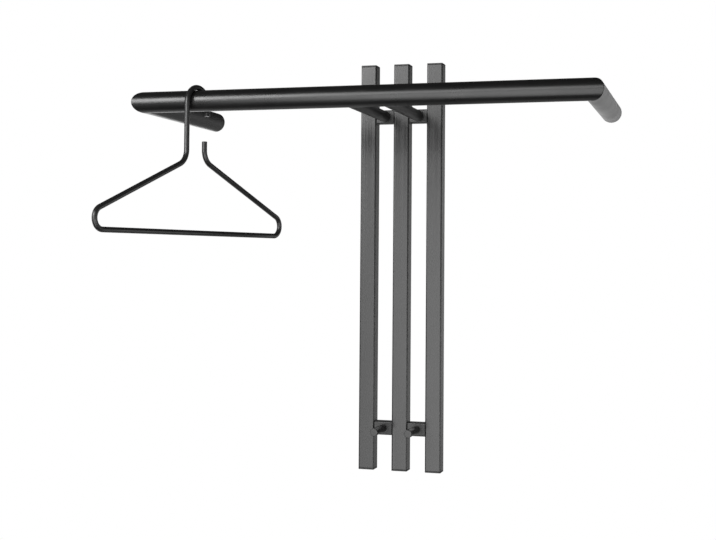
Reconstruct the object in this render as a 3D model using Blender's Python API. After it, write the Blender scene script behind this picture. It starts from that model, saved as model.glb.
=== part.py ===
"""Wall coat rack with a mitred tube rail, three square-tube slats, two pegs and a rod hanger.

Units are metres. X runs along the rail, +Y goes into the wall and Z is up.
The wall is the plane Y = 0. The origin is the middle of the centre slat's back.
"""

import math

import bmesh
import bpy
from mathutils import Matrix, Vector

MM = 0.001

# Clearance between pieces that touch
GAP = 0.3 * MM

# Rail and arms: one tube size, mitred and welded at the two corners, placed below the slats' tops
TUBE_RADIUS = 16 * MM
TUBE_WALL = 2 * MM
RAIL_SPAN = 675 * MM
RAIL_REACH = 285.5 * MM
RAIL_FROM_TOP = 86 * MM

# Wall spigots inside the arms' rear ends
FLANGE_THICKNESS = 3 * MM
SPIGOT_LENGTH = 30 * MM
SPIGOT_HOLE_RADIUS = 2.75 * MM
SPIGOT_SINK_RADIUS = 5.5 * MM
SPIGOT_SINK_DEPTH = 2.75 * MM
SET_SCREW_RADIUS = 2.5 * MM
SET_SCREW_FROM_WALL = 14 * MM
SET_SCREW_BITE = 1.5 * MM

# Slats, upright square tubes with a plug in each end
SLAT_WIDTH = 26 * MM
SLAT_DEPTH = 25 * MM
SLAT_HEIGHT = 666 * MM
SLAT_PITCH = 55.8 * MM
SLAT_CORNER = 2.2 * MM
SLAT_WALL = 1.5 * MM
PLUG_THICKNESS = 2.5 * MM
PLUG_EDGE = 0.6 * MM
PLUG_DEPTH = 12 * MM

# Cross bars, short square tubes welded between the slats, half way between their fronts and backs
BAR_HEIGHT = 22 * MM
BAR_DEPTH = 20 * MM
BAR_CORNER = 2 * MM
BAR_WALL = 1.5 * MM
LOWER_BAR_FROM_END = 68.3 * MM
CORNER_STEPS = 3

# Struts between the rail and the upper bar
STRUT_RADIUS = 9 * MM
STRUT_WALL = 1.5 * MM
INSERT_LENGTH = 22 * MM
WASHER_RADIUS = 6 * MM
WASHER_THICKNESS = 1.2 * MM

# Coat pegs on the lower bar
PEG_RADIUS = 6.25 * MM
PEG_LENGTH = 57.5 * MM
PEG_CHAMFER = 0.8 * MM

# Keyholes in the outer slats' backs: a round hole for the wall screw's head under a slot for its shank
KEYHOLE_FROM_TOP = 45 * MM
KEYHOLE_RADIUS = 4.5 * MM
KEYHOLE_SLOT_WIDTH = 5 * MM
KEYHOLE_SLOT_LENGTH = 11 * MM

# Hanger, one bent rod, sized in its own plane from the hook's centre
HANGER_ROD_RADIUS = 4 * MM
HOOK_RADIUS = 24.4 * MM
HOOK_TIP_DROP = 17 * MM
HANGER_HALF_WIDTH = 221 * MM
HANGER_DROP = 194.7 * MM
SHOULDER_SLOPE = math.radians(22.4)
CORNER_RADIUS = 16 * MM
NECK_RADIUS = 24 * MM
TAIL_OFFSET = 18.5 * MM
TAIL_TOP_DROP = 55.5 * MM
ROD_END_CHAMFER = 0.8 * MM
HANGER_FROM_ARM = 86.5 * MM
HANGER_TURN = math.radians(75)
BEND_STEP = math.radians(10)

# Facets around a turned part, and the angle above which an edge stays sharp
TUBE_SIDES = 48
ROD_SIDES = 16
SCREW_SIDES = 18
SHARP_ANGLE = math.radians(35)

# Fasteners inside the cross bars: head height and radius, shank, length, hexagon socket's half width
PEG_SCREW = dict(head=2.6 * MM, head_radius=4 * MM, shank_radius=2 * MM, length=25 * MM,
                 socket=1.4 * MM)
STRUT_BOLT = dict(head=5 * MM, head_radius=5 * MM, shank_radius=3 * MM, length=29 * MM,
                  socket=2.5 * MM)
SOCKET_DEPTH_SHARE = 0.6
ACCESS_CLEARANCE = 0.5 * MM
CUT_OVERSHOOT = 2 * MM

# Sizes worked out from the ones above
RAIL_Z = SLAT_HEIGHT / 2 - RAIL_FROM_TOP
LOWER_BAR_Z = LOWER_BAR_FROM_END - SLAT_HEIGHT / 2
KEYHOLE_Z = SLAT_HEIGHT / 2 - KEYHOLE_FROM_TOP
TUBE_BORE = TUBE_RADIUS - TUBE_WALL
SPIGOT_RADIUS = TUBE_BORE - GAP
MITRE_RETREAT = GAP / 2 * math.sqrt(2)
SLAT_XS = {"left": -SLAT_PITCH, "centre": 0.0, "right": SLAT_PITCH}
SIDES = {"left": -1, "right": 1}
GAP_XS = {side: sign * SLAT_PITCH / 2 for side, sign in SIDES.items()}
BAR_LENGTH = SLAT_PITCH - SLAT_WIDTH - 2 * GAP
BAR_BACK = (SLAT_DEPTH - BAR_DEPTH) / 2
BAR_FRONT = BAR_BACK + BAR_DEPTH
SCREW_SEAT = BAR_FRONT - BAR_WALL - GAP
WASHER_BACK = SCREW_SEAT - WASHER_THICKNESS
STRUT_BORE = STRUT_RADIUS - STRUT_WALL
HANGER_X = HANGER_FROM_ARM - RAIL_SPAN / 2

# Turned parts are drawn along local Z. These turn local Z to point out from the wall, or along X.
OUT_FROM_WALL = Matrix.Rotation(math.pi / 2, 4, "X")
ALONG_RAIL = Matrix(((0, 0, 1, 0), (1, 0, 0, 0), (0, 1, 0, 0), (0, 0, 0, 1)))


def clear_scene():
    """Remove every object the scene starts with."""
    for old in list(bpy.data.objects):
        bpy.data.objects.remove(old, do_unlink=True)


def make_material(name, colour, roughness, metallic):
    """Plain Principled material from a linear colour."""
    material = bpy.data.materials.new(name)
    material.use_nodes = True
    shader = material.node_tree.nodes["Principled BSDF"]
    shader.inputs["Base Color"].default_value = (*colour, 1.0)
    shader.inputs["Roughness"].default_value = roughness
    shader.inputs["Metallic"].default_value = metallic
    return material


def add_object(name, bm, material=None):
    """Turn a bmesh into a linked object with outward faces."""
    bmesh.ops.connect_verts_nonplanar(bm, angle_limit=0.001, faces=bm.faces)
    bmesh.ops.recalc_face_normals(bm, faces=bm.faces)
    mesh = bpy.data.meshes.new(name)
    bm.to_mesh(mesh)
    bm.free()
    mesh.shade_smooth()
    mesh.set_sharp_from_angle(angle=SHARP_ANGLE)
    added = bpy.data.objects.new(name, mesh)
    bpy.context.collection.objects.link(added)
    if material:
        mesh.materials.append(material)
    return added


def bridge(bm, first, second):
    """Join two rings with faces. A ring of one vertex closes to a point."""
    count = max(len(first), len(second))
    for i in range(count):
        j = (i + 1) % count
        corners = [first[i % len(first)], first[j % len(first)],
                   second[j % len(second)], second[i % len(second)]]
        bm.faces.new(dict.fromkeys(corners))


def add_turned(bm, stations, place, sides, closed=False):
    """Revolve (height, radius) stations about local Z.

    A height may be a function of the offset (x, y), for a mitred or coped end.
    A radius may be a function of the angle, for a hexagon.
    A closed outline is a ring with a bore; an open one starts and ends on the axis.
    """
    rings = []
    for height, radius in stations:
        ring = []
        for i in range(sides if radius else 1):
            angle = 2 * math.pi * i / sides
            distance = radius(angle) if callable(radius) else radius
            x = distance * math.cos(angle)
            y = distance * math.sin(angle)
            z = height(x, y) if callable(height) else height
            ring.append(bm.verts.new(place @ Vector((x, y, z))))
        rings.append(ring)
    for first, second in zip(rings, rings[1:]):
        bridge(bm, first, second)
    if closed:
        bridge(bm, rings[-1], rings[0])


def turned(name, stations, place, sides, material=None, closed=False):
    """One turned object, placed by its own matrix."""
    bm = bmesh.new()
    add_turned(bm, stations, Matrix(), sides, closed)
    added = add_object(name, bm, material)
    added.matrix_world = place
    return added


def rounded_rectangle(width, depth, corner):
    """Outline of a rectangle with rounded corners, as points about its middle."""
    outline = []
    for quarter, (x, y) in enumerate(((1, 1), (-1, 1), (-1, -1), (1, -1))):
        for i in range(CORNER_STEPS + 1):
            angle = math.pi / 2 * (quarter + i / CORNER_STEPS)
            outline.append((x * (width / 2 - corner) + corner * math.cos(angle),
                            y * (depth / 2 - corner) + corner * math.sin(angle)))
    return outline


def lofted(name, sections, place, material, closed=False):
    """Object through (height, outline) sections along local Z.

    A closed one joins its last section to its first, as in a tube. An open one has flat ends.
    """
    bm = bmesh.new()
    rings = [[bm.verts.new((x, y, height)) for x, y in outline] for height, outline in sections]
    for first, second in zip(rings, rings[1:]):
        bridge(bm, first, second)
    if closed:
        bridge(bm, rings[-1], rings[0])
    else:
        bm.faces.new(rings[0])
        bm.faces.new(rings[-1])
    added = add_object(name, bm, material)
    added.matrix_world = place
    return added


def square_tube(name, width, depth, corner, wall, length, place, material):
    """Rectangular tube along local Z, with its middle at the origin."""
    outer = rounded_rectangle(width, depth, corner)
    inner = rounded_rectangle(width - 2 * wall, depth - 2 * wall, corner - wall)
    sections = [(-length / 2, outer), (length / 2, outer), (length / 2, inner), (-length / 2, inner)]
    return lofted(name, sections, place, material, closed=True)


def cut(target, label, bm):
    """Cut the solids of a bmesh out of an object. They must not overlap one another."""
    cutter = add_object(f"{target.name} {label} cutter", bm)
    cutter.hide_render = True
    cutter.hide_set(True)
    cutter.display_type = "WIRE"
    boolean = target.modifiers.new(label, "BOOLEAN")
    boolean.operation = "DIFFERENCE"
    boolean.solver = "EXACT"
    boolean.object = cutter


def out_from_wall(x, z):
    """Matrix of a part whose local Z runs out from the wall at (x, z)."""
    return Matrix.Translation((x, 0, z)) @ OUT_FROM_WALL


def hexagon(half_width):
    """Radius of a hexagon at an angle, with half its width across flats."""
    def radius(angle):
        return half_width / math.cos(angle % (math.pi / 3) - math.pi / 6)

    return radius


def screw_stations(screw, seat):
    """Outline of a screw whose head lies on a seat at that distance from the wall."""
    top = seat - screw["head"]
    floor = top + screw["head"] * SOCKET_DEPTH_SHARE
    end = top + screw["length"]
    socket = hexagon(screw["socket"])
    return [(floor, 0), (floor, socket), (top, socket), (top, screw["head_radius"]),
            (seat, screw["head_radius"]), (seat, screw["shank_radius"]),
            (end - screw["shank_radius"], screw["shank_radius"]),
            (end, screw["shank_radius"] / 2), (end, 0)]


def cut_screw_hole(bar, screw, access_radius, place):
    """Cut the access hole in a cross bar's back and the shank's hole in its front."""
    middle = (BAR_BACK + BAR_FRONT) / 2
    access = access_radius + ACCESS_CLEARANCE
    shank = screw["shank_radius"] + GAP
    front = BAR_FRONT + CUT_OVERSHOOT
    hole = bmesh.new()
    add_turned(hole, [(0, 0), (0, access), (middle, access), (middle, shank), (front, shank), (front, 0)],
               place, SCREW_SIDES)
    cut(bar, "screw hole", hole)


def build_rail(steel):
    """Rail between the two arms, its ends cut at 45 degrees in plan."""
    def left_end(x, y):
        return x - RAIL_SPAN / 2 + MITRE_RETREAT

    def right_end(x, y):
        return RAIL_SPAN / 2 - x - MITRE_RETREAT

    stations = [(left_end, TUBE_RADIUS), (right_end, TUBE_RADIUS),
                (right_end, TUBE_BORE), (left_end, TUBE_BORE)]
    place = Matrix.Translation((0, -RAIL_REACH, RAIL_Z)) @ ALONG_RAIL
    turned("rail_tube", stations, place, TUBE_SIDES, steel, closed=True)


def set_screw_place(sign):
    """Matrix of a set screw on top of an arm, local Z up from the arm's axis."""
    return Matrix.Translation((sign * RAIL_SPAN / 2, -SET_SCREW_FROM_WALL, RAIL_Z))


def build_arms(steel):
    """Arms from the wall to the rail, with their wall spigots and set screws."""
    hole_radius = SET_SCREW_RADIUS + GAP
    dimple = SPIGOT_RADIUS - SET_SCREW_BITE
    hole = [(dimple, 0), (dimple, hole_radius),
            (TUBE_RADIUS + CUT_OVERSHOOT, hole_radius), (TUBE_RADIUS + CUT_OVERSHOOT, 0)]
    rear = FLANGE_THICKNESS + GAP
    spigot = [(0, SPIGOT_HOLE_RADIUS), (0, TUBE_RADIUS), (FLANGE_THICKNESS, TUBE_RADIUS),
              (FLANGE_THICKNESS, SPIGOT_RADIUS), (SPIGOT_LENGTH, SPIGOT_RADIUS),
              (SPIGOT_LENGTH, SPIGOT_SINK_RADIUS),
              (SPIGOT_LENGTH - SPIGOT_SINK_DEPTH, SPIGOT_HOLE_RADIUS)]
    for side, sign in SIDES.items():
        def front(x, y, sign=sign):
            return RAIL_REACH + sign * x - MITRE_RETREAT

        place = out_from_wall(sign * RAIL_SPAN / 2, RAIL_Z)
        stations = [(rear, TUBE_RADIUS), (front, TUBE_RADIUS), (front, TUBE_BORE), (rear, TUBE_BORE)]
        arm = turned(f"{side}_arm_tube", stations, place, TUBE_SIDES, steel, closed=True)
        plug = turned(f"{side}_wall_spigot", spigot, place, TUBE_SIDES, steel, closed=True)
        for target in (arm, plug):
            bm = bmesh.new()
            add_turned(bm, hole, set_screw_place(sign), SCREW_SIDES)
            cut(target, "set screw hole", bm)


def build_set_screws(plated):
    """One grub screw on top of each arm, flush with the tube, biting its spigot."""
    tip = SPIGOT_RADIUS - SET_SCREW_BITE + GAP
    top = TUBE_RADIUS - GAP
    socket_floor = (tip + top) / 2
    socket = hexagon(SET_SCREW_RADIUS / 2)
    outline = [(tip, 0), (tip, SET_SCREW_RADIUS), (top, SET_SCREW_RADIUS), (top, socket),
               (socket_floor, socket), (socket_floor, 0)]
    for side, sign in SIDES.items():
        turned(f"{side}_set_screw", outline, set_screw_place(sign), SCREW_SIDES, plated)


def gap_places(bar_z):
    """Matrices with their origin on the wall, behind the middle of each gap between slats."""
    return {side: out_from_wall(x, bar_z) for side, x in GAP_XS.items()}


def keyhole_cutter(slat_x):
    """Keyhole through a slat's back wall: a round hole below a slot, as one outline pushed through."""
    half_slot = KEYHOLE_SLOT_WIDTH / 2
    start = math.asin(half_slot / KEYHOLE_RADIUS)
    steps = SCREW_SIDES
    outline = []
    for i in range(steps + 1):
        angle = start + (2 * math.pi - 2 * start) * i / steps
        outline.append((KEYHOLE_RADIUS * math.sin(angle), KEYHOLE_RADIUS * math.cos(angle)))
    for i in range(steps // 2 + 1):
        angle = math.pi - math.pi * i / (steps // 2)
        outline.append((half_slot * math.cos(angle), KEYHOLE_SLOT_LENGTH + half_slot * math.sin(angle)))
    bm = bmesh.new()
    rings = [[bm.verts.new((slat_x + x, y, KEYHOLE_Z + z)) for x, z in outline]
             for y in (-SLAT_WALL - CUT_OVERSHOOT, CUT_OVERSHOOT)]
    bridge(bm, *rings)
    for ring in rings:
        bm.faces.new(ring)
    return bm


def build_slats(steel):
    """Slat tubes, with a keyhole in the back of the outer two."""
    length = SLAT_HEIGHT - 2 * (PLUG_THICKNESS + GAP)
    for label, x in SLAT_XS.items():
        place = Matrix.Translation((x, -SLAT_DEPTH / 2, 0))
        slat = square_tube(f"slat_{label}", SLAT_WIDTH, SLAT_DEPTH, SLAT_CORNER, SLAT_WALL, length,
                           place, steel)
        if label in SIDES:
            cut(slat, "keyhole", keyhole_cutter(x))


def build_slat_plugs(plastic):
    """Plugs that close the slats' ends, flush with the tube, each with a stub inside it."""
    outer = rounded_rectangle(SLAT_WIDTH, SLAT_DEPTH, SLAT_CORNER)
    eased = rounded_rectangle(SLAT_WIDTH - 2 * PLUG_EDGE, SLAT_DEPTH - 2 * PLUG_EDGE,
                              SLAT_CORNER - PLUG_EDGE)
    inset = SLAT_WALL + GAP
    stub = rounded_rectangle(SLAT_WIDTH - 2 * inset, SLAT_DEPTH - 2 * inset, SLAT_CORNER - SLAT_WALL)
    for label, x in SLAT_XS.items():
        for end, sign in (("top", 1), ("bottom", -1)):
            place = Matrix.Translation((x, -SLAT_DEPTH / 2, sign * SLAT_HEIGHT / 2))
            sections = [(0, eased), (-sign * PLUG_EDGE, outer), (-sign * PLUG_THICKNESS, outer),
                        (-sign * PLUG_THICKNESS, stub), (-sign * PLUG_DEPTH, stub)]
            lofted(f"{label}_{end}_plug", sections, place, plastic)


def build_bars(steel):
    """Cross bars between the slats, with holes for the strut bolts and the peg screws."""
    for level, bar_z, screw, access in (("upper", RAIL_Z, STRUT_BOLT, WASHER_RADIUS),
                                        ("lower", LOWER_BAR_Z, PEG_SCREW, PEG_SCREW["head_radius"])):
        for side, hole_place in gap_places(bar_z).items():
            middle = (GAP_XS[side], -SLAT_DEPTH / 2, bar_z)
            bar = square_tube(f"{side}_{level}_cross_bar", BAR_DEPTH, BAR_HEIGHT, BAR_CORNER, BAR_WALL,
                              BAR_LENGTH, Matrix.Translation(middle) @ ALONG_RAIL, steel)
            cut_screw_hole(bar, screw, access, hole_place)


def build_struts(steel, plated):
    """Struts coped to the rail's back, with inserts, bolts and washers at the upper bars."""
    def cope(x, y):
        return RAIL_REACH - math.sqrt((TUBE_RADIUS + GAP) ** 2 - y ** 2)

    rear = BAR_FRONT + GAP
    bore = STRUT_BOLT["shank_radius"] + GAP
    insert_end = rear + INSERT_LENGTH
    insert_radius = STRUT_BORE - GAP
    tube = [(rear, STRUT_RADIUS), (cope, STRUT_RADIUS), (cope, STRUT_BORE), (rear, STRUT_BORE)]
    plug = [(rear, insert_radius), (insert_end, insert_radius), (insert_end, bore), (rear, bore)]
    ring = [(WASHER_BACK, WASHER_RADIUS), (SCREW_SEAT, WASHER_RADIUS),
            (SCREW_SEAT, bore), (WASHER_BACK, bore)]
    bolt = screw_stations(STRUT_BOLT, WASHER_BACK - GAP)
    for side, place in gap_places(RAIL_Z).items():
        turned(f"{side}_strut", tube, place, TUBE_SIDES, steel, closed=True)
        turned(f"{side}_strut_insert", plug, place, SCREW_SIDES, plated, closed=True)
        turned(f"{side}_strut_washer", ring, place, SCREW_SIDES, plated, closed=True)
        turned(f"{side}_strut_bolt", bolt, place, SCREW_SIDES, plated)


def build_pegs(steel, plated):
    """Solid pegs, each with a blind hole for the screw from inside the lower bar."""
    rear = BAR_FRONT + GAP
    front = rear + PEG_LENGTH
    bore = PEG_SCREW["shank_radius"] + GAP
    bore_end = SCREW_SEAT - PEG_SCREW["head"] + PEG_SCREW["length"] + GAP
    outline = [(bore_end, 0), (bore_end, bore), (rear, bore), (rear, PEG_RADIUS),
               (front - PEG_CHAMFER, PEG_RADIUS), (front, PEG_RADIUS - PEG_CHAMFER), (front, 0)]
    screw = screw_stations(PEG_SCREW, SCREW_SEAT)
    for side, place in gap_places(LOWER_BAR_Z).items():
        turned(f"{side}_peg", outline, place, TUBE_SIDES, steel)
        turned(f"{side}_peg_screw", screw, place, SCREW_SIDES, plated)


def rounded_path(corners):
    """Points and directions along a polyline whose corners (x, z, radius) are rounded off."""
    points = [(Vector(corners[0][:2]), (Vector(corners[1][:2]) - Vector(corners[0][:2])).normalized())]
    for before, corner, after in zip(corners, corners[1:], corners[2:]):
        middle = Vector(corner[:2])
        inward = (middle - Vector(before[:2])).normalized()
        outward = (Vector(after[:2]) - middle).normalized()
        turn = inward.angle_signed(outward)
        setback = corner[2] * math.tan(abs(turn) / 2)
        steps = max(2, round(abs(turn) / BEND_STEP))
        side = math.copysign(1.0, turn)
        centre = middle - inward * setback + Vector((inward.y, -inward.x)) * side * corner[2]
        for i in range(steps + 1):
            direction = Matrix.Rotation(-turn * i / steps, 2) @ inward
            points.append((centre + Vector((-direction.y, direction.x)) * side * corner[2], direction))
    points.append((Vector(corners[-1][:2]), points[-1][1]))
    return points


def hanger_corners():
    """Corners of the hanger's rod in its plane, from the hook's tip to the free tail."""
    slope = math.tan(SHOULDER_SLOPE)
    corner_x = HANGER_HALF_WIDTH - CORNER_RADIUS
    corner_z = CORNER_RADIUS - HANGER_DROP
    apex = corner_z + corner_x * slope + CORNER_RADIUS / math.cos(SHOULDER_SLOPE)
    tip_x = (apex + HANGER_DROP) / slope
    return [(HOOK_RADIUS, -HOOK_TIP_DROP, 0),
            (HOOK_RADIUS, HOOK_RADIUS, HOOK_RADIUS),
            (-HOOK_RADIUS, HOOK_RADIUS, HOOK_RADIUS),
            (-HOOK_RADIUS, apex - HOOK_RADIUS * slope, NECK_RADIUS),
            (-tip_x, -HANGER_DROP, CORNER_RADIUS),
            (tip_x, -HANGER_DROP, CORNER_RADIUS),
            (TAIL_OFFSET, apex - TAIL_OFFSET * slope, NECK_RADIUS),
            (TAIL_OFFSET, -TAIL_TOP_DROP, 0)]


def build_hanger(steel):
    """Hanger rod swept along its path, with chamfered ends, hung on the rail."""
    path = rounded_path(hanger_corners())
    stations = [(point, direction, HANGER_ROD_RADIUS) for point, direction in path]
    for index, sign in ((0, 1), (-1, -1)):
        point, direction, radius = stations[index]
        stations[index] = (point + direction * sign * ROD_END_CHAMFER, direction, radius)
        end = (point, direction, radius - ROD_END_CHAMFER)
        stations.insert(0 if sign > 0 else len(stations), end)
    bm = bmesh.new()
    rings = []
    for point, direction, radius in stations:
        ring = []
        for i in range(ROD_SIDES):
            angle = 2 * math.pi * i / ROD_SIDES
            across = radius * math.cos(angle)
            depth = radius * math.sin(angle)
            ring.append(bm.verts.new((point.x - direction.y * across, depth, point.y + direction.x * across)))
        rings.append(ring)
    for first, second in zip(rings, rings[1:]):
        bridge(bm, first, second)
    bm.faces.new(rings[0])
    bm.faces.new(rings[-1])
    hanger = add_object("hanger", bm, steel)
    hook_z = RAIL_Z + TUBE_RADIUS + GAP - (HOOK_RADIUS - HANGER_ROD_RADIUS)
    hanger.location = (HANGER_X, -RAIL_REACH, hook_z)
    hanger.rotation_euler = (0, 0, HANGER_TURN)


def build():
    """Build every piece of the rack."""
    clear_scene()
    steel = make_material("black powder-coated steel", (0.012, 0.012, 0.012), 0.4, 0.0)
    plated = make_material("zinc-plated steel", (0.42, 0.42, 0.43), 0.35, 1.0)
    plastic = make_material("black polyethylene", (0.01, 0.01, 0.01), 0.5, 0.0)
    build_slats(steel)
    build_slat_plugs(plastic)
    build_bars(steel)
    build_rail(steel)
    build_arms(steel)
    build_set_screws(plated)
    build_struts(steel, plated)
    build_pegs(steel, plated)
    build_hanger(steel)


build()
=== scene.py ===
"""Dressed scene of a wall coat rack: smooth coated tubes, plugs, pegs, fixings and a rod hanger.

Units are metres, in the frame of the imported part: X along the rail, +Y into the wall, Z up.
"""

import math

import bmesh
import bpy
import numpy as np
from mathutils import Matrix, Vector


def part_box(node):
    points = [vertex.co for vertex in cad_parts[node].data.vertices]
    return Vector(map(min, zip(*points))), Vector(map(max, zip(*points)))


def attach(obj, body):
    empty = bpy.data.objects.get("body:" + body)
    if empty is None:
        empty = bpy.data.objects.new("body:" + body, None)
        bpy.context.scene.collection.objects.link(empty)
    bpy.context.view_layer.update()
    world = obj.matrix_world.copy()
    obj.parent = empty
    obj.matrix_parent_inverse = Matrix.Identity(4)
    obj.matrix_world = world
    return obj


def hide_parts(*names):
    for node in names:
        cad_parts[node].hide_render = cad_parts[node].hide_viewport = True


bl_info = {
    "name": "Wall coat rack",
    "version": (1, 0, 0),
    "blender": (4, 5, 0),
    "location": "3D View > Sidebar > Coat rack",
    "description": "Dresses the packed coat rack with smooth pieces, finishes, light and a camera",
    "category": "Object",
}

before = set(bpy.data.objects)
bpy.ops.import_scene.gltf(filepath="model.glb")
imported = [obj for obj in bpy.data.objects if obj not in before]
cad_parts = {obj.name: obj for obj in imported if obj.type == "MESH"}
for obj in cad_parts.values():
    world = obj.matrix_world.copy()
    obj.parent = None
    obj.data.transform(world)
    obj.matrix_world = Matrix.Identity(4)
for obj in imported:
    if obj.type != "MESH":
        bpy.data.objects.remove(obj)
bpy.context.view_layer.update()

MM = 0.001
SIDES = {"left": -1, "right": 1}
SLATS = ("left", "centre", "right")
LEVELS = ("upper", "lower")

# Points around a full turn, on tubes, small turned pieces and the rod
TUBE_POINTS = 96
SMALL_POINTS = 48
ROD_POINTS = 32
# Steps of a quarter circle, at a square tube's corner and on a rounded edge
CORNER_STEPS = 8
EDGE_STEPS = 6
BEND_STEP = math.radians(3)
SHARP_ANGLE = math.radians(40)
MERGE_DISTANCE = 1e-6
# A row of points this far beyond each rounding keeps long and flat faces from shading as curved
HOLD = 0.4 * MM
# Play around screws, stubs and the hook
PLAY = 0.3 * MM
# How far a cutter reaches past the wall that it cuts
CUT_PAST = 2 * MM
# Bevel on the cut ends of the arms and spigots, and on those of struts and pegs
TUBE_EASE = 0.3 * MM
SEAT_EASE = 0.4 * MM
# Side of a mitre groove, in shares of its width and depth, with one row beyond it that holds the shading
GROOVE_SHAPE = ((0, 1), (0.35, 0.35), (0.7, 0.08), (1, 0), (1.4, 0))

# Turned pieces are drawn along local Z. These turn local Z to point out from the wall, or along X.
OUT_FROM_WALL = np.array(Matrix.Rotation(math.pi / 2, 4, "X"))
ALONG_RAIL = np.array(((0, 0, 1, 0), (1, 0, 0, 0), (0, 1, 0, 0), (0, 0, 0, 1.0)))


def node_box(node):
    """Low corner, high corner and middle of a CAD node's box."""
    low, high = (np.array(corner, dtype=float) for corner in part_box(node))
    return low, high, (low + high) / 2


RAIL_LOW, RAIL_HIGH, RAIL_MIDDLE = node_box("rail_tube")
RAIL_REACH = -RAIL_MIDDLE[1]
ARM_X = node_box("right_arm_tube")[2][0]
ARM_REAR = -node_box("right_arm_tube")[1][1]
SPIGOT_LENGTH = -node_box("right_wall_spigot")[0][1]
SCREW_LOW, SCREW_HIGH, SCREW_MIDDLE = node_box("right_set_screw")
SCREW_RADIUS = (SCREW_HIGH - SCREW_LOW)[0] / 2
SLAT_LOW, SLAT_HIGH, _ = node_box("slat_centre")
PLUG_LOW, PLUG_HIGH, _ = node_box("centre_top_plug")
BAR_LOW, BAR_HIGH, _ = node_box("right_upper_cross_bar")
BAR_FRONT = -BAR_LOW[1]
STRUT_LOW, STRUT_HIGH, _ = node_box("right_strut")
WASHER_LOW, WASHER_HIGH, _ = node_box("right_strut_washer")
WASHER_RADIUS = (WASHER_HIGH - WASHER_LOW)[0] / 2
BOLT_LOW, BOLT_HIGH, _ = node_box("right_strut_bolt")
PEG_LOW, PEG_HIGH, _ = node_box("right_peg")
PEG_SCREW_LOW, PEG_SCREW_HIGH, _ = node_box("right_peg_screw")
HANGER_LOW, _, HANGER_MIDDLE = node_box("hanger")


def linear(code):
    """An sRGB hex code as a linear colour: each channel through the sRGB curve."""
    channels = np.array([int(code[i:i + 2], 16) for i in (1, 3, 5)]) / 255
    values = np.where(channels <= 0.04045, channels / 12.92, ((channels + 0.055) / 1.055) ** 2.4)
    return (*values.tolist(), 1.0)


def length_property(name, description, default):
    """A size in metres with its words."""
    return bpy.props.FloatProperty(name=name, description=description, default=default, unit="LENGTH",
                                   precision=5)


def angle_property(name, description, degrees):
    """An angle with its words, from degrees."""
    return bpy.props.FloatProperty(name=name, description=description, default=math.radians(degrees),
                                   subtype="ANGLE")


def colour_property(name, description, code):
    """A colour with its words, from an sRGB hex code."""
    return bpy.props.FloatVectorProperty(name=name, description=description, default=linear(code),
                                         subtype="COLOR", size=4, min=0, max=1)


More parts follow.
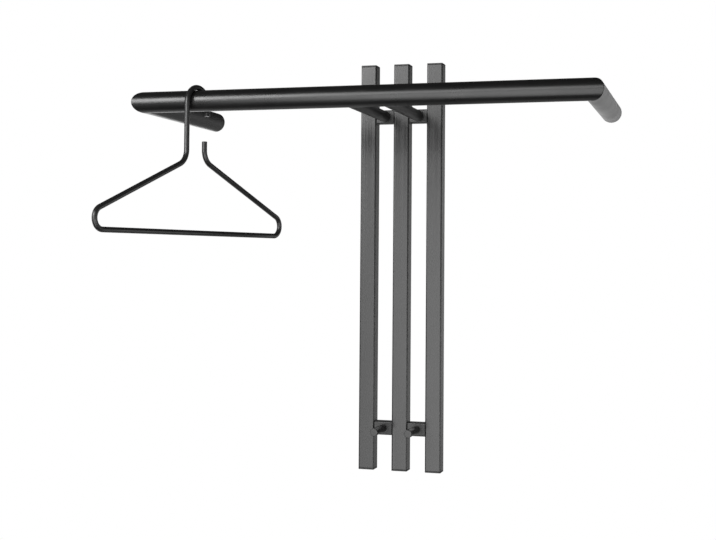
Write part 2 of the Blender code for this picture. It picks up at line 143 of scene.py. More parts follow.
class RackSizes(bpy.types.PropertyGroup):
    """Sizes of the rack's pieces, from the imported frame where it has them."""

    tube_radius: length_property("Tube radius", "Outer radius of the rail and arms",
                                 (RAIL_HIGH - RAIL_LOW)[2] / 2)
    tube_wall: length_property("Tube wall", "Wall of the rail and arms", 2 * MM)
    mitre_groove: length_property("Mitre groove", "Depth of the groove along each mitred corner", 0.5 * MM)
    mitre_groove_width: length_property("Mitre groove width", "Width of the groove on one side", 0.9 * MM)
    slat_corner: length_property("Slat corner", "Radius of a slat's long edges", 2.2 * MM)
    slat_wall: length_property("Slat wall", "Wall of the slats' tube", 1.5 * MM)
    bar_corner: length_property("Bar corner", "Radius of a cross bar's long edges", 2 * MM)
    bar_wall: length_property("Bar wall", "Wall of the cross bars' tube", 1.5 * MM)
    weld: length_property("Weld", "Radius of the fillet between cross bar and slat", 0.7 * MM)
    strut_wall: length_property("Strut wall", "Wall of the struts' tube", 1.5 * MM)
    strut_weld: length_property("Strut weld", "Radius of the fillet between strut and rail", 1.2 * MM)
    plug_edge: length_property("Plug edge", "Rounding of a plug's outer edge", 0.6 * MM)
    plug_flange: length_property("Plug flange", "Thickness of a plug's visible part", 2.5 * MM)
    peg_edge: length_property("Peg edge", "Rounding of a peg's front edge", 0.8 * MM)
    spigot_radius: length_property("Spigot radius", "Radius of a spigot inside its arm", 13.7 * MM)
    spigot_hole: length_property("Spigot hole", "Radius of a spigot's wall screw hole", 2.75 * MM)
    spigot_sink: length_property("Spigot sink", "Radius of the countersink inside a spigot", 5.5 * MM)
    spigot_flange: length_property("Spigot flange", "Thickness of a spigot's flange", 3 * MM)
    washer_bore: length_property("Washer bore", "Radius of a washer's hole", 3.3 * MM)
    bolt_shank: length_property("Bolt shank", "Radius of a strut bolt's shank", 3 * MM)
    bolt_socket: length_property("Bolt socket", "Half the width of a strut bolt's socket", 2.5 * MM)
    screw_shank: length_property("Screw shank", "Radius of a peg screw's shank", 2 * MM)
    screw_socket: length_property("Screw socket", "Half the width of a peg screw's socket", 1.4 * MM)
    keyhole_radius: length_property("Keyhole radius", "Radius of a keyhole's round part", 4.5 * MM)
    keyhole_slot: length_property("Keyhole slot", "Width of a keyhole's slot", 5 * MM)
    keyhole_rise: length_property("Keyhole rise", "From the round part's centre to the slot's end", 11 * MM)
    keyhole_drop: length_property("Keyhole drop", "From a slat's top end to the round part's centre", 45 * MM)
    rod_radius: length_property("Rod radius", "Radius of the hanger's rod", 4 * MM)
    rod_edge: length_property("Rod edge", "Rounding of the rod's two cut ends", 0.8 * MM)
    hook_radius: length_property("Hook radius", "Radius of the hook, to the rod's middle", 24.4 * MM)
    hook_tip_drop: length_property("Hook tip drop", "From the hook's centre down to its tip", 17 * MM)
    hanger_half_width: length_property("Hanger half width", "Half the hanger's width, to the rod's middle",
                                       221 * MM)
    shoulder_slope: angle_property("Shoulder slope", "Fall of the hanger's shoulders", 22.4)
    corner_radius: length_property("Corner radius", "Bend at the hanger's lower corners", 16 * MM)
    neck_radius: length_property("Neck radius", "Bend where the shoulders turn up", 24 * MM)
    tail_offset: length_property("Tail offset", "From the hook's centre to the free tail", 18.5 * MM)
    tail_drop: length_property("Tail drop", "From the hook's centre down to the tail's end", 55.5 * MM)
    hanger_turn: angle_property("Hanger turn", "Turn of the hanger about the vertical", 75)


class RackFinishes(bpy.types.PropertyGroup):
    """Colours of the finishes."""

    coat: colour_property("Coat", "Powder coat on the tubes", "#161616")
    coat_line: colour_property("Coat line", "Fine lines along the square tubes, where the coat is thin",
                               "#262626")
    rod: colour_property("Rod coat", "Dip coat on the hanger's rod", "#1f1f1f")
    zinc: colour_property("Zinc", "Plating on the screws, washers and inserts", "#c4c6c9")
    zinc_tint: colour_property("Zinc tint", "Passivated patches on the plating", "#b3b09f")
    plug: colour_property("Plug", "Polyethylene of the plugs", "#121212")
    floor: colour_property("Floor", "Studio floor", "#f1f1ef")


def sizes():
    """The rack's sizes on the scene."""
    return bpy.context.scene.coat_rack_sizes


def finishes():
    """The rack's finishes on the scene."""
    return bpy.context.scene.coat_rack_finishes


def add_node(tree, kind, inputs=None, **settings):
    """Add a shader node with its settings. An input's value is a number, a colour or an output to link."""
    added = tree.nodes.new(kind)
    for name, value in settings.items():
        setattr(added, name, value)
    for name, value in (inputs or {}).items():
        if isinstance(value, bpy.types.NodeSocket):
            tree.links.new(value, added.inputs[name])
        else:
            added.inputs[name].default_value = value
    return added


def principled(name):
    """A new material with its tree, its shader and its piece's own coordinates in metres."""
    material = bpy.data.materials.new(name)
    material.use_nodes = True
    tree = material.node_tree
    place = add_node(tree, "ShaderNodeTexCoord").outputs["Object"]
    return material, tree, tree.nodes["Principled BSDF"], place


# Most of a noise pattern's values lie between these
NOISE_LOW = 0.3
NOISE_HIGH = 0.7


def add_surface(tree, shader, gloss, roughness, height, depth):
    """Roughness spread over a range by one pattern, and a bump of a real depth from another."""
    smooth, rough = roughness
    spread = add_node(tree, "ShaderNodeMapRange", {"Value": gloss, "From Min": NOISE_LOW,
                                                   "From Max": NOISE_HIGH, "To Min": smooth, "To Max": rough})
    bump = add_node(tree, "ShaderNodeBump", {"Height": height, "Distance": depth})
    tree.links.new(spread.outputs["Result"], shader.inputs["Roughness"])
    tree.links.new(bump.outputs["Normal"], shader.inputs["Normal"])


def powder_coat(name, colour, roughness, uneven, streak=None):
    """Satin coat baked on steel, as powder on the tubes and by dipping on the rod.

    To the eye: near black, an even soft sheen with a faint orange-peel ripple, a little uneven in gloss.
    A streak is the direction in which the drawn tube under the coat shows as fine, slightly paler lines.
    """
    peel_size = 2.4 * MM      # cells of about 0.8 mm, drawn three times as coarse to show at all
    peel_depth = 0.003 * MM
    patch_size = 45 * MM
    streak_width = 3.2 * MM   # lines under 1 mm wide, drawn coarser to show at all
    streak_length = 600 * MM
    line_share = 0.8          # of the gloss, the rest from the patches
    thin_low, thin_high = 0.4, 0.7    # of the line pattern, from the coat's colour to the line's
    material, tree, shader, place = principled(name)
    peel = add_node(tree, "ShaderNodeTexNoise", {"Vector": place, "Scale": 1 / peel_size, "Detail": 1.0})
    patch = add_node(tree, "ShaderNodeTexNoise", {"Vector": place, "Scale": 1 / patch_size, "Detail": 3.0})
    gloss = patch.outputs["Fac"]
    shader.inputs["Base Color"].default_value = colour
    shader.inputs["IOR"].default_value = 1.55
    if streak:
        stretch = [1 / streak_length if axis == streak else 1 / streak_width for axis in "XYZ"]
        along = add_node(tree, "ShaderNodeMapping", {"Vector": place, "Scale": stretch})
        lines = add_node(tree, "ShaderNodeTexNoise", {"Vector": along.outputs["Vector"], "Scale": 1.0,
                                                      "Detail": 2.0, "Roughness": 0.6}).outputs["Fac"]
        mixed = add_node(tree, "ShaderNodeMix", {"Factor": line_share, "A": gloss, "B": lines})
        gloss = mixed.outputs["Result"]
        thin = add_node(tree, "ShaderNodeMapRange", {"Value": lines, "From Min": thin_low,
                                                     "From Max": thin_high})
        tint = add_node(tree, "ShaderNodeMix", {"Factor": thin.outputs["Result"], "A": colour,
                                                "B": finishes().coat_line}, data_type="RGBA")
        tree.links.new(tint.outputs["Result"], shader.inputs["Base Color"])
    add_surface(tree, shader, gloss, (roughness - uneven, roughness + uneven), peel.outputs["Fac"],
                peel_depth)
    return material


def zinc_plate():
    """Zinc-plated and passivated steel.

    To the eye: a bright grey metal with cloudy, faintly straw-coloured patches and a fine drawn grain.
    """
    cloud_size = 6 * MM
    grain_size = 0.6 * MM
    grain_depth = 0.01 * MM
    roughness = (0.26, 0.4)
    material, tree, shader, place = principled("zinc-plated steel, passivated")
    cloud = add_node(tree, "ShaderNodeTexNoise", {"Vector": place, "Scale": 1 / cloud_size, "Detail": 3.0})
    grain = add_node(tree, "ShaderNodeTexNoise", {"Vector": place, "Scale": 1 / grain_size, "Detail": 2.0})
    tint = add_node(tree, "ShaderNodeMix", {"Factor": cloud.outputs["Fac"], "A": finishes().zinc,
                                            "B": finishes().zinc_tint}, data_type="RGBA")
    shader.inputs["Metallic"].default_value = 1.0
    tree.links.new(tint.outputs["Result"], shader.inputs["Base Color"])
    add_surface(tree, shader, cloud.outputs["Fac"], roughness, grain.outputs["Fac"], grain_depth)
    return material


def moulded_plug():
    """Injection-moulded polyethylene.

    To the eye: matt black with the fine even grain of an eroded mould and a dull sheen.
    """
    grain_size = 1.2 * MM     # grain of about 0.2 mm, drawn coarser to show at all
    grain_depth = 0.02 * MM
    roughness = (0.44, 0.58)
    material, tree, shader, place = principled("moulded black polyethylene")
    noise = add_node(tree, "ShaderNodeTexNoise", {"Vector": place, "Scale": 1 / grain_size, "Detail": 4.0})
    grain = noise.outputs["Fac"]
    shader.inputs["Base Color"].default_value = finishes().plug
    shader.inputs["IOR"].default_value = 1.51
    add_surface(tree, shader, grain, roughness, grain, grain_depth)
    return material


made_finishes = {}


def finish(key):
    """The named finish, made on first use. The coat is glossier on slats and duller on bars and struts."""
    coat = finishes().coat
    makers = {
        "tube": lambda: powder_coat("satin black powder coat on round tube", coat, 0.3, 0.04),
        "slat": lambda: powder_coat("satin black powder coat on drawn square tube", coat, 0.24, 0.06, "Z"),
        "bar": lambda: powder_coat("satin black powder coat on short square tube", coat, 0.4, 0.05, "X"),
        "strut": lambda: powder_coat("satin black powder coat on thin round tube", coat, 0.45, 0.04),
        "rod": lambda: powder_coat("satin black dip coat on round rod", finishes().rod, 0.3, 0.04),
        "zinc": zinc_plate,
        "plug": moulded_plug,
    }
    if key not in made_finishes:
        made_finishes[key] = makers[key]()
    return made_finishes[key]


def circle(radius, count):
    """Outline of a circle: radius times the cosine and sine of even steps of a turn."""
    angle = np.arange(count) * 2 * math.pi / count
    return radius * np.stack([np.cos(angle), np.sin(angle)], axis=1)


def hexagon(half_width, count):
    """Outline of a hexagon at even angles: half its width over the cosine from the nearest flat."""
    angle = np.arange(count) * 2 * math.pi / count
    distance = half_width / np.cos(angle % (math.pi / 3) - math.pi / 6)
    return distance[:, None] * np.stack([np.cos(angle), np.sin(angle)], axis=1)


def rounded_rectangle(width, depth, corner):
    """Outline of a rectangle: a quarter circle at each corner, with a holding point before and after it."""
    quarter = np.arange(4).repeat(CORNER_STEPS + 3)
    step = np.tile(np.pad(np.arange(CORNER_STEPS + 1), 1, "edge"), 4) / CORNER_STEPS
    hold = np.tile(np.pad(np.zeros(CORNER_STEPS + 1), 1, constant_values=(-HOLD, HOLD)), 4)[:, None]
    angle = math.pi / 2 * (quarter + step)
    out = np.stack([np.cos(angle), np.sin(angle)], axis=1)
    along = np.stack([-np.sin(angle), np.cos(angle)], axis=1)
    sign = np.array(((1, 1), (-1, 1), (-1, -1), (1, -1)))[quarter]
    return corner * out + hold * along + sign * np.array((width / 2 - corner, depth / 2 - corner))


def rounding(radius):
    """Offsets (along, inward) of a quarter circle from a side face to an end face."""
    angle = np.linspace(0, math.pi / 2, EDGE_STEPS + 1)
    return list(zip(radius * (1 - np.sin(angle)), radius * (1 - np.cos(angle))))


def placed(grid, place):
    """A grid of points turned and moved by a matrix."""
    return grid @ place[:3, :3].T + place[:3, 3]


def carried(stations, place):
    """Grid of a profile carried along local Z: one row for each (outline, height), moved by a matrix.

    A height is a number, or one number for each point of the outline where the end is mitred or coped.
    """
    rows = [np.column_stack([outline, np.broadcast_to(height, len(outline))]) for outline, height in stations]
    return placed(np.array(rows), place)


def turned(profile, place, count):
    """Grid of a profile of (height, radius) turned about local Z."""
    return carried([(circle(radius, count), height) for height, radius in profile], place)


def moved(place):
    """Matrix that moves the origin to a place."""
    return np.array(Matrix.Translation(place))


def out_from_wall(x, z):
    """Matrix that sets local Z out from the wall at (x, z)."""
    return moved((x, 0, z)) @ OUT_FROM_WALL


def out_at(node):
    """Matrix that sets local Z out from the wall at the middle of a CAD node."""
    x, _, z = node_box(node)[2]
    return out_from_wall(x, z)


def quads(grid, closed):
    """Faces of a grid whose columns close on themselves, and its rows too on a closed profile."""
    index = np.arange(grid.shape[0] * grid.shape[1]).reshape(grid.shape[:2])
    index = np.concatenate([index, index[:, :1]], axis=1)
    if closed:
        index = np.concatenate([index, index[:1]])
    corners = np.stack([index[:-1, :-1], index[1:, :-1], index[1:, 1:], index[:-1, 1:]], axis=-1)
    return corners.reshape(-1, 4)


def grid_mesh(name, grid, closed):
    """Mesh of a grid with seams and poles merged, faces outward and hard edges kept."""
    mesh = bpy.data.meshes.new(name)
    mesh.from_pydata(grid.reshape(-1, 3).tolist(), [], quads(grid, closed).tolist())
    bm = bmesh.new()
    bm.from_mesh(mesh)
    bmesh.ops.remove_doubles(bm, verts=bm.verts, dist=MERGE_DISTANCE)
    bmesh.ops.dissolve_degenerate(bm, edges=bm.edges, dist=MERGE_DISTANCE)
    bmesh.ops.recalc_face_normals(bm, faces=bm.faces)
    bm.to_mesh(mesh)
    bm.free()
    mesh.shade_smooth()
    mesh.set_sharp_from_angle(angle=SHARP_ANGLE)
    return mesh


def add_piece(name, node, grid, key, closed=False, body="rack"):
    """One finished piece in place of a CAD node, riding on its body."""
    piece = bpy.data.objects.new(name, grid_mesh(name, grid, closed))
    bpy.context.collection.objects.link(piece)
    piece.data.materials.append(finish(key))
    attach(piece, body)
    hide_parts(node)
    return piece


def cut_hole(piece, grid):
    """Cut a closed grid out of a piece and keep the result as its mesh."""
    cutter = bpy.data.objects.new(f"{piece.name}_cutter", grid_mesh(f"{piece.name}_cutter", grid, False))
    bpy.context.collection.objects.link(cutter)
    boolean = piece.modifiers.new("hole", "BOOLEAN")
    boolean.operation = "DIFFERENCE"
    boolean.solver = "EXACT"
    boolean.object = cutter
    evaluated = piece.evaluated_get(bpy.context.evaluated_depsgraph_get())
    mesh = bpy.data.meshes.new_from_object(evaluated)
    piece.modifiers.remove(boolean)
    old = piece.data
    piece.data = mesh
    bpy.data.meshes.remove(old)
    blade = cutter.data
    bpy.data.objects.remove(cutter)
    bpy.data.meshes.remove(blade)
    mesh.name = piece.name
    mesh.set_sharp_from_angle(angle=SHARP_ANGLE)


class DRESS_OT_rail(bpy.types.Operator):
    """Rail and arms, mitred at the corners with a fine groove along the weld"""

    bl_idname = "dress.rail"
    bl_label = "Rail and arms"

    def execute(self, context):
        size = sizes()
        groove = [(circle(size.tube_radius - inward * size.mitre_groove, TUBE_POINTS),
                   along * size.mitre_groove_width) for along, inward in GROOVE_SHAPE]
        inner = circle(size.tube_radius - size.tube_wall, TUBE_POINTS)
        left = [(ring, ring[:, 0] - ARM_X + along) for ring, along in groove]
        right = [(ring, -height) for ring, height in reversed(left)]
        stations = left + right + [(inner, ARM_X - inner[:, 0]), (inner, inner[:, 0] - ARM_X)]
        place = moved((0, -RAIL_REACH, RAIL_MIDDLE[2])) @ ALONG_RAIL
        add_piece("rail", "rail_tube", carried(stations, place), "tube", closed=True)
        rear = [(circle(size.tube_radius - TUBE_EASE, TUBE_POINTS), ARM_REAR),
                (circle(size.tube_radius, TUBE_POINTS), ARM_REAR + TUBE_EASE)]
        for side, sign in SIDES.items():
            front = [(ring, RAIL_REACH + sign * ring[:, 0] - along) for ring, along in reversed(groove)]
            stations = rear + front + [(inner, RAIL_REACH + sign * inner[:, 0]), (inner, ARM_REAR)]
            grid = carried(stations, out_from_wall(sign * ARM_X, RAIL_MIDDLE[2]))
            piece = add_piece(f"{side}_arm", f"{side}_arm_tube", grid, "tube", closed=True)
            cut_hole(piece, set_screw_hole(sign))
        return {"FINISHED"}


def set_screw_hole(sign):
    """Grid of a round cutter from inside a spigot up through the top of its arm."""
    radius = SCREW_RADIUS + PLAY
    low, high = SCREW_LOW[2] - PLAY, SCREW_HIGH[2] + CUT_PAST
    profile = [(low, 0), (low, radius), (high, radius), (high, 0)]
    return turned(profile, moved((sign * ARM_X, SCREW_MIDDLE[1], 0)), SMALL_POINTS)


class DRESS_OT_wall_fixings(bpy.types.Operator):
    """Spigots with their flanges on the wall, and the set screws on top of the arms"""

    bl_idname = "dress.wall_fixings"
    bl_label = "Wall spigots and set screws"

    def execute(self, context):
        size = sizes()
        ease, length = TUBE_EASE, SPIGOT_LENGTH
        outer, stub, hole = size.tube_radius, size.spigot_radius, size.spigot_hole
        flange = size.spigot_flange
        profile = [(0, hole), (0, outer - ease), (ease, outer), (flange - ease, outer),
                   (flange, outer - ease), (flange, stub), (length - 2 * ease, stub),
                   (length, stub - 2 * ease), (length, size.spigot_sink),
                   (length - (size.spigot_sink - hole), hole)]
        for side, sign in SIDES.items():
            grid = turned(profile, out_from_wall(sign * ARM_X, RAIL_MIDDLE[2]), TUBE_POINTS)
            piece = add_piece(f"{side}_spigot", f"{side}_wall_spigot", grid, "tube",
                              closed=True)
            cut_hole(piece, set_screw_hole(sign))
            add_piece(f"{side}_grub_screw", f"{side}_set_screw", set_screw_grid(sign), "zinc")
        return {"FINISHED"}


def set_screw_grid(sign):
    """Grid of a grub screw: a short cylinder with a chamfered top and a hexagon socket in it."""
    chamfer = 0.3 * MM
    mouth_share = 0.62
    low, high = SCREW_LOW[2], SCREW_HIGH[2]
    floor = (low + high) / 2
    wall = circle(SCREW_RADIUS, SMALL_POINTS)
    rim = circle(SCREW_RADIUS - chamfer, SMALL_POINTS)
    mouth = circle(SCREW_RADIUS * mouth_share, SMALL_POINTS)
    socket = hexagon(SCREW_RADIUS / 2, SMALL_POINTS)
    stations = [(socket * 0, low), (wall, low), (wall, high - chamfer), (rim, high), (mouth, high),
                (socket, high - chamfer), (socket, floor), (socket * 0, floor)]
    return carried(stations, moved((sign * ARM_X, SCREW_MIDDLE[1], 0)))


class DRESS_OT_slats(bpy.types.Operator):
    """Upright square tubes with rounded edges, the outer two with a keyhole in the back"""

    bl_idname = "dress.slats"
    bl_label = "Slats"

    def execute(self, context):
        size = sizes()
        width, depth, length = SLAT_HIGH - SLAT_LOW
        ease = 0.2 * MM
        inner = rounded_rectangle(width - 2 * size.slat_wall, depth - 2 * size.slat_wall,
                                  size.slat_corner - size.slat_wall)
        outer = rounded_rectangle(width, depth, size.slat_corner)
        eased = rounded_rectangle(width - 2 * ease, depth - 2 * ease, size.slat_corner - ease)
        half = length / 2
        stations = [(eased, -half), (outer, ease - half), (outer, half - ease), (eased, half),
                    (inner, half), (inner, -half)]
        for label in SLATS:
            middle = node_box(f"slat_{label}")[2]
            slat = add_piece(f"{label}_slat", f"slat_{label}", carried(stations, moved(middle)), "slat",
                             closed=True)
            if label in SIDES:
                cut_hole(slat, keyhole_grid(middle[0]))
        return {"FINISHED"}


def keyhole_grid(slat_x):
    """Grid of a keyhole cutter: a round outline below a round-ended slot, pushed through the back wall."""
    size = sizes()
    half_slot = size.keyhole_slot / 2
    start = math.asin(half_slot / size.keyhole_radius)
    round_angle = np.linspace(start, 2 * math.pi - start, SMALL_POINTS)
    slot_angle = np.linspace(math.pi, 0, SMALL_POINTS // 2)
    bottom = size.keyhole_radius * np.stack([np.sin(round_angle), np.cos(round_angle)], axis=1)
    top = half_slot * np.stack([np.cos(slot_angle), np.sin(slot_angle)], axis=1) + (0, size.keyhole_rise)
    outline = np.concatenate([bottom, top])
    middle = np.zeros_like(outline) + (0, half_slot)
    inside = size.slat_wall + CUT_PAST
    stations = [(middle, -CUT_PAST), (outline, -CUT_PAST), (outline, inside), (middle, inside)]
    return carried(stations, out_from_wall(slat_x, PLUG_HIGH[2] - size.keyhole_drop))


class DRESS_OT_plugs(bpy.types.Operator):
    """Plugs in the slats' ends, rounded at the edge, each with a stub inside the tube"""

    bl_idname = "dress.plugs"
    bl_label = "Slat plugs"

    def execute(self, context):
        size = sizes()
        width, depth, height = PLUG_HIGH - PLUG_LOW
        edge = size.plug_edge
        inset = size.slat_wall + PLAY
        least_corner = 0.1 * MM
        taper, taper_height = 0.5 * MM, 1 * MM

        def outline(inward):
            return rounded_rectangle(width - 2 * inward, depth - 2 * inward,
                                     max(size.slat_corner - inward, least_corner))

        flange, stub = outline(0), outline(inset)
        point = stub * 0
        stations = [(point, 0), (outline(edge + HOLD), 0)]
        stations += [(outline(inward), along) for along, inward in reversed(rounding(edge))]
        stations += [(flange, edge + HOLD), (flange, size.plug_flange), (stub, size.plug_flange),
                     (stub, height - taper_height), (outline(inset + taper), height), (point, height)]
        for label in SLATS:
            for end, sign in (("top", 1), ("bottom", -1)):
                low, high, middle = node_box(f"{label}_{end}_plug")
                face = high[2] if sign > 0 else low[2]
                grid = carried([(ring, -sign * along) for ring, along in stations],
                               moved((middle[0], middle[1], face)))
                add_piece(f"{label}_{end}_cap", f"{label}_{end}_plug", grid, "plug")
        return {"FINISHED"}


class DRESS_OT_cross_bars(bpy.types.Operator):
    """Short square tubes welded between the slats, with a hole in the back for the screw"""

    bl_idname = "dress.cross_bars"
    bl_label = "Cross bars"

    def execute(self, context):
        size = sizes()
        depth, height = (BAR_HIGH - BAR_LOW)[1:]
        half = (node_box("slat_right")[0][0] - SLAT_HIGH[0]) / 2
        bore = rounded_rectangle(depth - 2 * size.bar_wall, height - 2 * size.bar_wall,
                                 size.bar_corner - size.bar_wall)
        welded = [(rounded_rectangle(depth + 2 * out, height + 2 * out, size.bar_corner + out), along - half)
                  for out, along in rounding(size.weld) + [(0, size.weld + HOLD)]]
        stations = welded + [(ring, -along) for ring, along in reversed(welded)]
        stations += [(bore, half), (bore, -half)]
        for level in LEVELS:
            for side in SIDES:
                middle = node_box(f"{side}_{level}_cross_bar")[2]
                grid = carried(stations, moved(middle) @ ALONG_RAIL)
                bar = add_piece(f"{side}_{level}_bar", f"{side}_{level}_cross_bar", grid, "bar",
                                closed=True)
                cut_hole(bar, bar_hole(level, middle))
        return {"FINISHED"}


def bar_hole(level, middle):
    """Grid of a stepped round cutter: wide through a bar's back for the head, narrow through its front."""
    access_play = 0.5 * MM
    shank_share = 0.62
    low, high = (BOLT_LOW, BOLT_HIGH) if level == "upper" else (PEG_SCREW_LOW, PEG_SCREW_HIGH)
    head = (high - low)[0] / 2
    wide = (WASHER_RADIUS if level == "upper" else head) + access_play
    narrow = head * shank_share
    step, front = -middle[1], BAR_FRONT + CUT_PAST
    profile = [(0, 0), (0, wide), (step, wide), (step, narrow), (front, narrow), (front, 0)]
    return turned(profile, out_from_wall(middle[0], middle[2]), SMALL_POINTS)


class DRESS_OT_struts(bpy.types.Operator):
    """Struts from the upper bars to the rail's back, coped and welded there"""

    bl_idname = "dress.struts"
    bl_label = "Struts"

    def execute(self, context):
        size = sizes()
        radius = (STRUT_HIGH - STRUT_LOW)[2] / 2

        def coped(ring, back):
            return ring, RAIL_REACH - np.sqrt(size.tube_radius ** 2 - ring[:, 1] ** 2) - back

        weld = [coped(circle(radius + out, TUBE_POINTS), along)
                for along, out in [(size.strut_weld + HOLD, 0)] + rounding(size.strut_weld)]
        bore = circle(radius - size.strut_wall, TUBE_POINTS)
        stations = [(circle(radius - SEAT_EASE, TUBE_POINTS), BAR_FRONT),
                    (circle(radius, TUBE_POINTS), BAR_FRONT + SEAT_EASE)]
        stations += weld + [coped(bore, 0), (bore, BAR_FRONT)]
        for side in SIDES:
            grid = carried(stations, out_at(f"{side}_strut"))
            add_piece(f"{side}_strut_tube", f"{side}_strut", grid, "strut", closed=True)
            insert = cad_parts[f"{side}_strut_insert"]
            insert.material_slots[0].material = finish("zinc")
        return {"FINISHED"}


class DRESS_OT_pegs(bpy.types.Operator):
    """Solid round pegs on the lower bars, with a rounded front edge and a blind screw hole"""

    bl_idname = "dress.pegs"
    bl_label = "Coat pegs"

    def execute(self, context):
        size = sizes()
        shank_share = 0.6
        radius = (PEG_HIGH - PEG_LOW)[0] / 2
        rear, front = BAR_FRONT, -PEG_LOW[1]
        bore = (PEG_SCREW_HIGH - PEG_SCREW_LOW)[0] / 2 * shank_share
        bore_end = -PEG_SCREW_LOW[1] + PLAY
        profile = [(bore_end, 0), (bore_end, bore), (rear, bore), (rear, radius - SEAT_EASE),
                   (rear + SEAT_EASE, radius), (front - size.peg_edge - HOLD, radius)]
        profile += [(front - along, radius - inward) for along, inward in rounding(size.peg_edge)]
        profile += [(front, radius - size.peg_edge - HOLD), (front, 0)]
        for side in SIDES:
            grid = turned(profile, out_at(f"{side}_peg"), TUBE_POINTS)
            add_piece(f"{side}_coat_peg", f"{side}_peg", grid, "tube")
        return {"FINISHED"}


class DRESS_OT_screws(bpy.types.Operator):
    """Socket screws and washers inside the cross bars, seen through the holes in their backs"""

    bl_idname = "dress.screws"
    bl_label = "Screws and washers"

    def execute(self, context):
        size = sizes()
        ease = 0.15 * MM
        bore, outer = size.washer_bore, WASHER_RADIUS
        back, face = -WASHER_HIGH[1], -WASHER_LOW[1]
        ring = [(back, bore), (back, outer - ease), (back + ease, outer), (face - ease, outer),
                (face, outer - ease), (face, bore)]
        bolt = socket_screw(BOLT_LOW, BOLT_HIGH, back - PLAY, size.bolt_shank, size.bolt_socket)
        screw = socket_screw(PEG_SCREW_LOW, PEG_SCREW_HIGH, face, size.screw_shank, size.screw_socket)
        for side in SIDES:
            strut, peg = out_at(f"{side}_strut"), out_at(f"{side}_peg")
            add_piece(f"{side}_washer", f"{side}_strut_washer", turned(ring, strut, SMALL_POINTS), "zinc",
                      closed=True)
            add_piece(f"{side}_socket_bolt", f"{side}_strut_bolt", carried(bolt, strut), "zinc")
            add_piece(f"{side}_socket_screw", f"{side}_peg_screw", carried(screw, peg), "zinc")
        return {"FINISHED"}


def socket_screw(low, high, seat, shank, half_socket):
    """Stations of a screw: hexagon socket, rounded head down to its seat, then a shank with a tapered tip."""
    edge = 0.5 * MM
    floor_share = 0.6
    mouth_share = 1.25
    head = (high - low)[0] / 2
    top, end = -high[1], -low[1]
    floor = top + (seat - top) * floor_share
    socket = hexagon(half_socket, SMALL_POINTS)
    mouth = circle(half_socket * mouth_share, SMALL_POINTS)
    stations = [(socket * 0, floor), (socket, floor), (socket, top + edge / 2), (mouth, top)]
    stations += [(circle(head - inward, SMALL_POINTS), top + along)
                 for along, inward in reversed(rounding(edge))]
    stations += [(circle(head, SMALL_POINTS), seat), (circle(shank, SMALL_POINTS), seat),
                 (circle(shank, SMALL_POINTS), end - shank), (circle(shank / 2, SMALL_POINTS), end),
                 (socket * 0, end)]
    return stations


class DRESS_OT_hanger(bpy.types.Operator):
    """Hanger bent from one rod, from the hook's tip round to the free tail"""

    bl_idname = "dress.hanger"
    bl_label = "Hanger"

    def execute(self, context):
        points, directions = rod_path(hanger_corners())
        points, directions, radii = rounded_ends(points, directions)
        ring = circle(1.0, ROD_POINTS)
        across = np.stack([-directions[:, 1], directions[:, 0]], axis=1)
        flat = points[:, None, :] + across[:, None, :] * ring[None, :, :1] * radii[:, None, None]
        grid = np.stack([flat[..., 0], ring[None, :, 1] * radii[:, None], flat[..., 1]], axis=-1)
        place = np.array(Matrix.Translation((HANGER_MIDDLE[0], HANGER_MIDDLE[1], hook_height()))
                         @ Matrix.Rotation(sizes().hanger_turn, 4, "Z"))
        add_piece("rod_hanger", "hanger", placed(grid, place), "rod", body="hanger")
        return {"FINISHED"}


def hook_height():
    """Height of the hook's centre when its inside rests on top of the rail, with play."""
    size = sizes()
    return RAIL_HIGH[2] + PLAY - (size.hook_radius - size.rod_radius)


def hanger_corners():
    """Corners (x, z, bend radius) of the rod in the hanger's plane, from the hook's centre."""
    size = sizes()
    drop = hook_height() - HANGER_LOW[2] - size.rod_radius
    slope = math.tan(size.shoulder_slope)
    corner_x = size.hanger_half_width - size.corner_radius
    apex = size.corner_radius - drop + corner_x * slope + size.corner_radius / math.cos(size.shoulder_slope)
    tip_x = (apex + drop) / slope
    hook, tail = size.hook_radius, size.tail_offset
    return np.array([(hook, -size.hook_tip_drop, 0), (hook, hook, hook), (-hook, hook, hook),
                     (-hook, apex - hook * slope, size.neck_radius), (-tip_x, -drop, size.corner_radius),
                     (tip_x, -drop, size.corner_radius), (tail, apex - tail * slope, size.neck_radius),
                     (tail, -size.tail_drop, 0)])


def rod_path(corners):
    """Points and directions along straight runs whose corners are arcs that touch both runs."""
    least_steps = 3
    runs = np.diff(corners[:, :2], axis=0)
    runs /= np.linalg.norm(runs, axis=1, keepdims=True)
    points, directions = [corners[:1, :2]], [runs[:1]]
    for before, corner, after in zip(runs, corners[1:], runs[1:]):
        turn = math.atan2(before[0] * after[1] - before[1] * after[0], before @ after)
        angle = np.linspace(0, turn, max(least_steps, round(abs(turn) / BEND_STEP)) + 1)
        side = math.copysign(corner[2], turn)
        start = corner[:2] - before * corner[2] * math.tan(abs(turn) / 2)
        centre = start + side * np.array((-before[1], before[0]))
        heading = math.atan2(before[1], before[0]) + angle
        directions.append(np.stack([np.cos(heading), np.sin(heading)], axis=1))
        points.append(centre + side * np.stack([np.sin(heading), -np.cos(heading)], axis=1))
    points.append(corners[-1:, :2])
    directions.append(runs[-1:])
    return np.concatenate(points), np.concatenate(directions)


